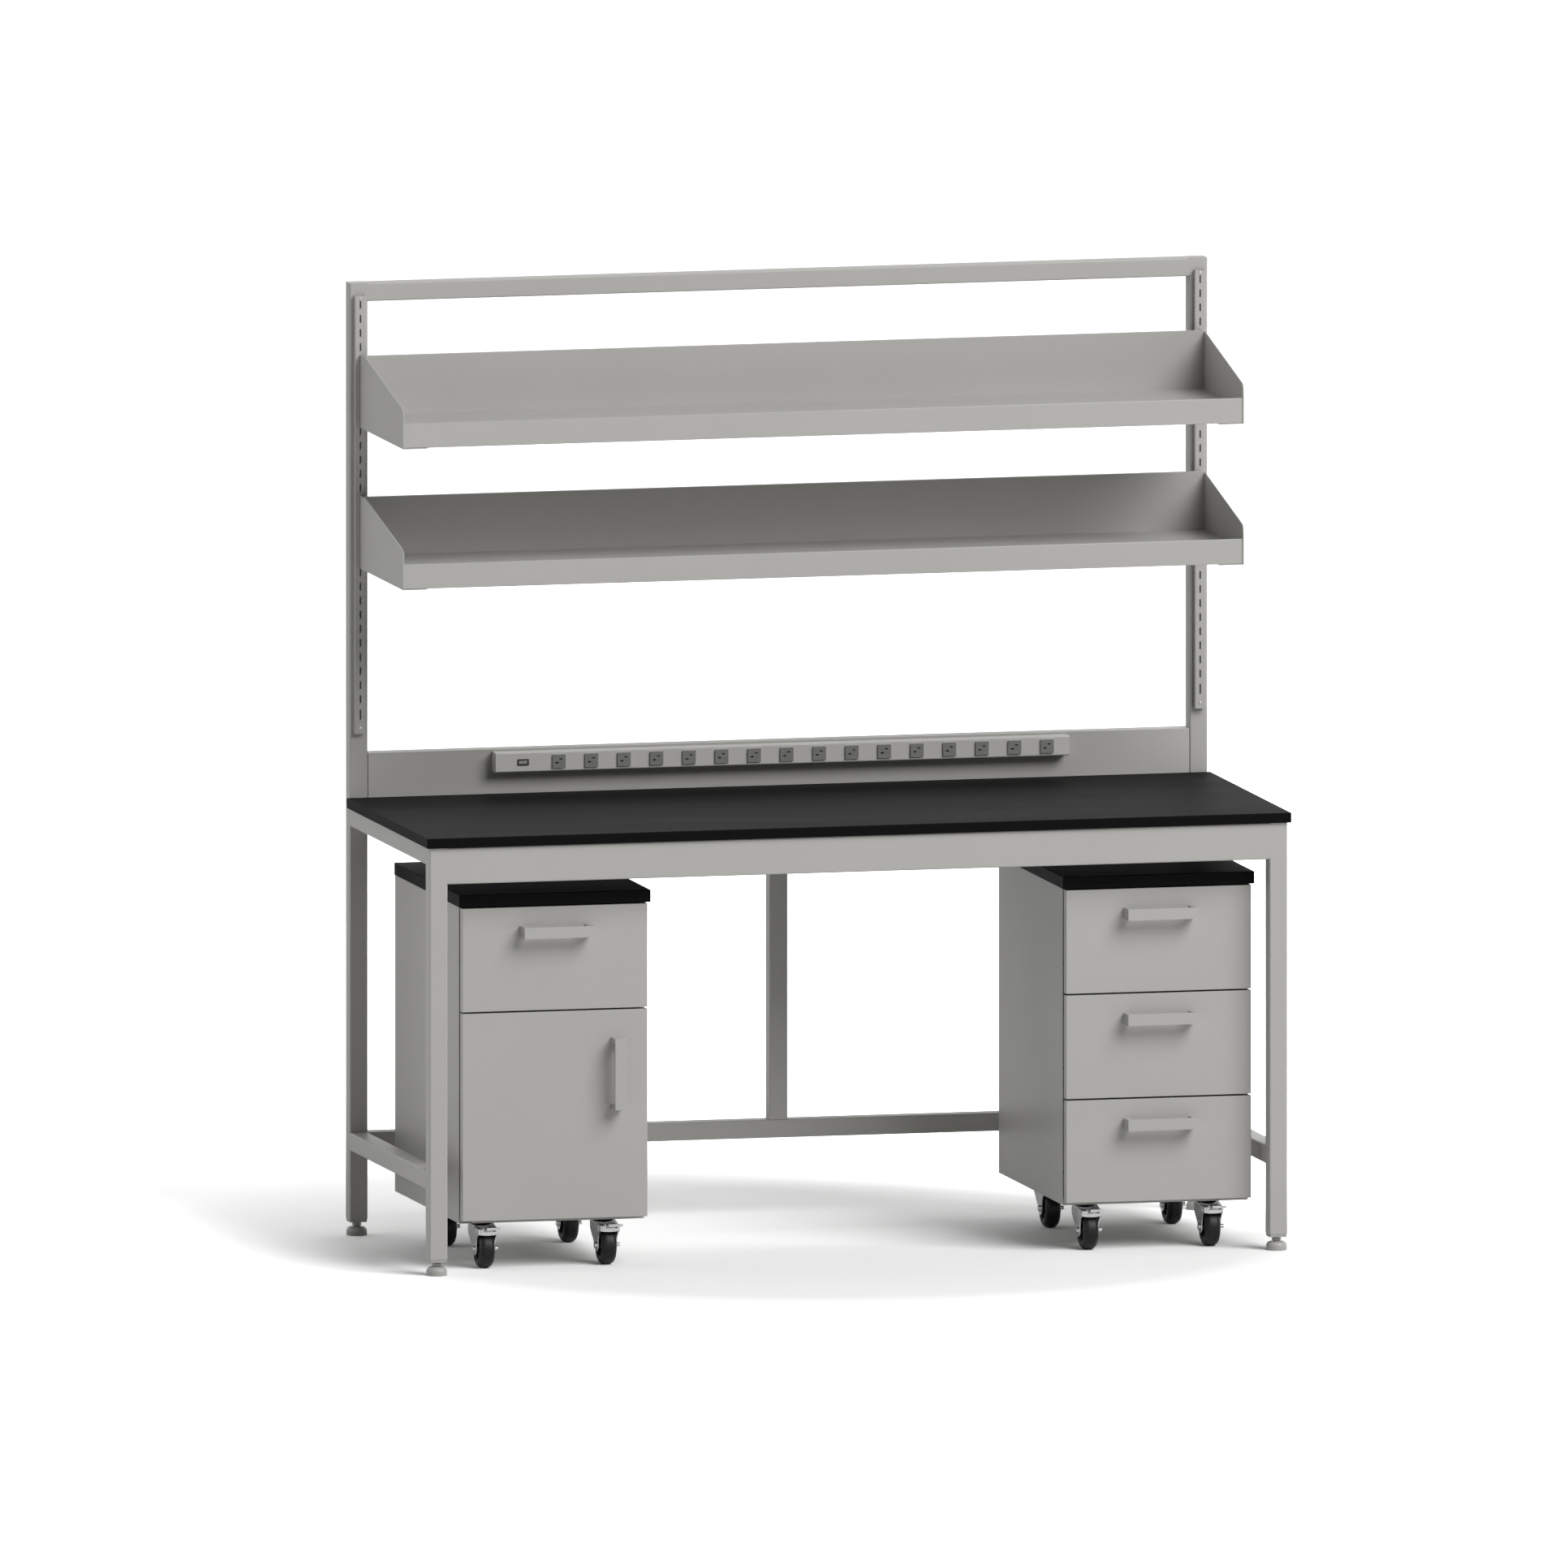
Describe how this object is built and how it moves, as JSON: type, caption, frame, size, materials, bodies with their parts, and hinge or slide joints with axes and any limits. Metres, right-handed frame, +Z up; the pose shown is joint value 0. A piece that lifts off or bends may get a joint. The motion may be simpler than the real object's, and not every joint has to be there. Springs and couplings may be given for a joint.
{
  "type": "lab bench with reagent shelf",
  "caption": "Tube-frame laboratory bench with black worktop, hook-on reagent shelves, outlet strip, and mobile pedestals with drawers and a cupboard.",
  "frame": {"origin": "middle of the footprint, on the floor", "axes": "+X to the right along the bench, +Y towards the posts at the back, +Z up"},
  "size_m": [1.8428, 0.7412, 1.988],
  "materials": {
    "frame_paint": "satin powder coat",
    "black_resin": "smooth, low sheen",
    "bright_steel": "zinc plated",
    "dark_steel": "black zinc plated",
    "foot_metal": "satin",
    "plug_plastic": "matte",
    "dark_plastic": "matte",
    "socket_plastic": "smooth",
    "rocker_plastic": "smooth",
    "caster_chrome": "bright plated",
    "black_rubber": "satin"
  },
  "bodies": {
    "bench": {"front_legs": "frame_paint", "rear_posts": "frame_paint", "top_crossbar": "frame_paint", "front_apron": "frame_paint", "side_rails": "frame_paint", "rear_rails": "frame_paint", "worktop": "black_resin", "back_panel": "frame_paint", "slotted_standards": "frame_paint", "bench_screws": "bright_steel", "leg_end_plugs": "plug_plastic", "outlet_strip_housing": "frame_paint", "outlet_sockets": "socket_plastic", "switch_bezel": "dark_plastic"},
    "switch rocker": {"switch_rocker": "rocker_plastic"},
    "front left foot": {"foot_front_left": "foot_metal"},
    "front right foot": {"foot_front_right": "foot_metal"},
    "rear left foot": {"foot_rear_left": "foot_metal"},
    "rear right foot": {"foot_rear_right": "foot_metal"},
    "upper shelf": {"upper_shelf_tray": "frame_paint", "upper_shelf_brackets": "frame_paint"},
    "lower shelf": {"lower_shelf_tray": "frame_paint", "lower_shelf_brackets": "frame_paint"},
    "left pedestal": {"left_cabinet": "frame_paint", "left_cabinet_top": "black_resin", "left_caster_bases": "caster_chrome", "left_cabinet_fittings": "dark_steel"},
    "right pedestal": {"right_cabinet": "frame_paint", "right_cabinet_top": "black_resin", "right_caster_bases": "caster_chrome", "right_cabinet_runners": "dark_steel"},
    "left drawer": {"left_drawer_front": "frame_paint", "left_drawer_box": "frame_paint"},
    "right top drawer": {"right_top_drawer_front": "frame_paint", "right_top_drawer_box": "frame_paint"},
    "right middle drawer": {"right_middle_drawer_front": "frame_paint", "right_middle_drawer_box": "frame_paint"},
    "right bottom drawer": {"right_bottom_drawer_front": "frame_paint", "right_bottom_drawer_box": "frame_paint"},
    "left door": {"left_door": "frame_paint"},
    "left front left fork": {"left_front_left_fork": "caster_chrome"},
    "left front left wheel": {"left_front_left_wheel": "black_rubber"},
    "left front left brake": {"left_front_left_brake": "caster_chrome"},
    "left front right fork": {"left_front_right_fork": "caster_chrome"},
    "left front right wheel": {"left_front_right_wheel": "black_rubber"},
    "left front right brake": {"left_front_right_brake": "caster_chrome"},
    "left rear left fork": {"left_rear_left_fork": "caster_chrome"},
    "left rear left wheel": {"left_rear_left_wheel": "black_rubber"},
    "left rear right fork": {"left_rear_right_fork": "caster_chrome"},
    "left rear right wheel": {"left_rear_right_wheel": "black_rubber"},
    "right front left fork": {"right_front_left_fork": "caster_chrome"},
    "right front left wheel": {"right_front_left_wheel": "black_rubber"},
    "right front left brake": {"right_front_left_brake": "caster_chrome"},
    "right front right fork": {"right_front_right_fork": "caster_chrome"},
    "right front right wheel": {"right_front_right_wheel": "black_rubber"},
    "right front right brake": {"right_front_right_brake": "caster_chrome"},
    "right rear left fork": {"right_rear_left_fork": "caster_chrome"},
    "right rear left wheel": {"right_rear_left_wheel": "black_rubber"},
    "right rear right fork": {"right_rear_right_fork": "caster_chrome"},
    "right rear right wheel": {"right_rear_right_wheel": "black_rubber"}
  },
  "joints": [
    {"name": "outlet switch", "type": "hinge", "parent": "bench", "child": "switch rocker", "pos_m": [-0.5536, 0.29852, 0.9825], "axis": [0, 0, 1], "range_deg": [0, 16]},
    {"name": "front left foot height", "type": "slide", "parent": "bench", "child": "front left foot", "axis": [0, 0, -1], "range_m": [-0.0015, 0.025]},
    {"name": "front right foot height", "type": "slide", "parent": "bench", "child": "front right foot", "axis": [0, 0, -1], "range_m": [-0.0015, 0.025]},
    {"name": "rear left foot height", "type": "slide", "parent": "bench", "child": "rear left foot", "axis": [0, 0, -1], "range_m": [-0.0015, 0.025]},
    {"name": "rear right foot height", "type": "slide", "parent": "bench", "child": "rear right foot", "axis": [0, 0, -1], "range_m": [-0.0015, 0.025]},
    {"name": "upper shelf lift-off", "type": "slide", "parent": "bench", "child": "upper shelf", "axis": [0, 0, 1], "range_m": [0, 0.0065]},
    {"name": "lower shelf lift-off", "type": "slide", "parent": "bench", "child": "lower shelf", "axis": [0, 0, 1], "range_m": [0, 0.0065]},
    {"name": "left pedestal roll-out", "type": "slide", "parent": "bench", "child": "left pedestal", "axis": [0, -1, 0], "range_m": [0, 0.7]},
    {"name": "right pedestal roll-out", "type": "slide", "parent": "bench", "child": "right pedestal", "axis": [0, -1, 0], "range_m": [0, 0.7]},
    {"name": "left drawer slide", "type": "slide", "parent": "left pedestal", "child": "left drawer", "axis": [0, -1, 0], "range_m": [0, 0.375]},
    {"name": "right top drawer slide", "type": "slide", "parent": "right pedestal", "child": "right top drawer", "axis": [0, -1, 0], "range_m": [0, 0.375]},
    {"name": "right middle drawer slide", "type": "slide", "parent": "right pedestal", "child": "right middle drawer", "axis": [0, -1, 0], "range_m": [0, 0.375]},
    {"name": "right bottom drawer slide", "type": "slide", "parent": "right pedestal", "child": "right bottom drawer", "axis": [0, -1, 0], "range_m": [0, 0.375]},
    {"name": "left door hinge", "type": "hinge", "parent": "left pedestal", "child": "left door", "pos_m": [-0.8191, -0.29357, 0.406], "axis": [0, 0, -1], "range_deg": [0, 105]},
    {"name": "left front left swivel", "type": "hinge", "parent": "left pedestal", "child": "left front left fork", "pos_m": [-0.7694, -0.21058, 0.09], "axis": [0, 0, 1], "continuous": true},
    {"name": "left front left wheel spin", "type": "hinge", "parent": "left front left fork", "child": "left front left wheel", "pos_m": [-0.7694, -0.24258, 0.04], "axis": [1, 0, 0], "continuous": true},
    {"name": "left front left brake press", "type": "hinge", "parent": "left front left fork", "child": "left front left brake", "pos_m": [-0.7694, -0.26658, 0.08], "axis": [1, 0, 0], "range_deg": [0, 15]},
    {"name": "left front right swivel", "type": "hinge", "parent": "left pedestal", "child": "left front right fork", "pos_m": [-0.5094, -0.21058, 0.09], "axis": [0, 0, 1], "continuous": true},
    {"name": "left front right wheel spin", "type": "hinge", "parent": "left front right fork", "child": "left front right wheel", "pos_m": [-0.5094, -0.24258, 0.04], "axis": [1, 0, 0], "continuous": true},
    {"name": "left front right brake press", "type": "hinge", "parent": "left front right fork", "child": "left front right brake", "pos_m": [-0.5094, -0.26658, 0.08], "axis": [1, 0, 0], "range_deg": [0, 15]},
    {"name": "left rear left swivel", "type": "hinge", "parent": "left pedestal", "child": "left rear left fork", "pos_m": [-0.7584, 0.16342, 0.09], "axis": [0, 0, 1], "continuous": true},
    {"name": "left rear left wheel spin", "type": "hinge", "parent": "left rear left fork", "child": "left rear left wheel", "pos_m": [-0.7584, 0.13142, 0.04], "axis": [1, 0, 0], "continuous": true},
    {"name": "left rear right swivel", "type": "hinge", "parent": "left pedestal", "child": "left rear right fork", "pos_m": [-0.4984, 0.16342, 0.09], "axis": [0, 0, 1], "continuous": true},
    {"name": "left rear right wheel spin", "type": "hinge", "parent": "left rear right fork", "child": "left rear right wheel", "pos_m": [-0.4984, 0.13142, 0.04], "axis": [1, 0, 0], "continuous": true},
    {"name": "right front left swivel", "type": "hinge", "parent": "right pedestal", "child": "right front left fork", "pos_m": [0.518, -0.21058, 0.09], "axis": [0, 0, 1], "continuous": true},
    {"name": "right front left wheel spin", "type": "hinge", "parent": "right front left fork", "child": "right front left wheel", "pos_m": [0.518, -0.24258, 0.04], "axis": [1, 0, 0], "continuous": true},
    {"name": "right front left brake press", "type": "hinge", "parent": "right front left fork", "child": "right front left brake", "pos_m": [0.518, -0.26658, 0.08], "axis": [1, 0, 0], "range_deg": [0, 15]},
    {"name": "right front right swivel", "type": "hinge", "parent": "right pedestal", "child": "right front right fork", "pos_m": [0.778, -0.21058, 0.09], "axis": [0, 0, 1], "continuous": true},
    {"name": "right front right wheel spin", "type": "hinge", "parent": "right front right fork", "child": "right front right wheel", "pos_m": [0.778, -0.24258, 0.04], "axis": [1, 0, 0], "continuous": true},
    {"name": "right front right brake press", "type": "hinge", "parent": "right front right fork", "child": "right front right brake", "pos_m": [0.778, -0.26658, 0.08], "axis": [1, 0, 0], "range_deg": [0, 15]},
    {"name": "right rear left swivel", "type": "hinge", "parent": "right pedestal", "child": "right rear left fork", "pos_m": [0.529, 0.16342, 0.09], "axis": [0, 0, 1], "continuous": true},
    {"name": "right rear left wheel spin", "type": "hinge", "parent": "right rear left fork", "child": "right rear left wheel", "pos_m": [0.529, 0.13142, 0.04], "axis": [1, 0, 0], "continuous": true},
    {"name": "right rear right swivel", "type": "hinge", "parent": "right pedestal", "child": "right rear right fork", "pos_m": [0.789, 0.16342, 0.09], "axis": [0, 0, 1], "continuous": true},
    {"name": "right rear right wheel spin", "type": "hinge", "parent": "right rear right fork", "child": "right rear right wheel", "pos_m": [0.789, 0.13142, 0.04], "axis": [1, 0, 0], "continuous": true}
  ]
}
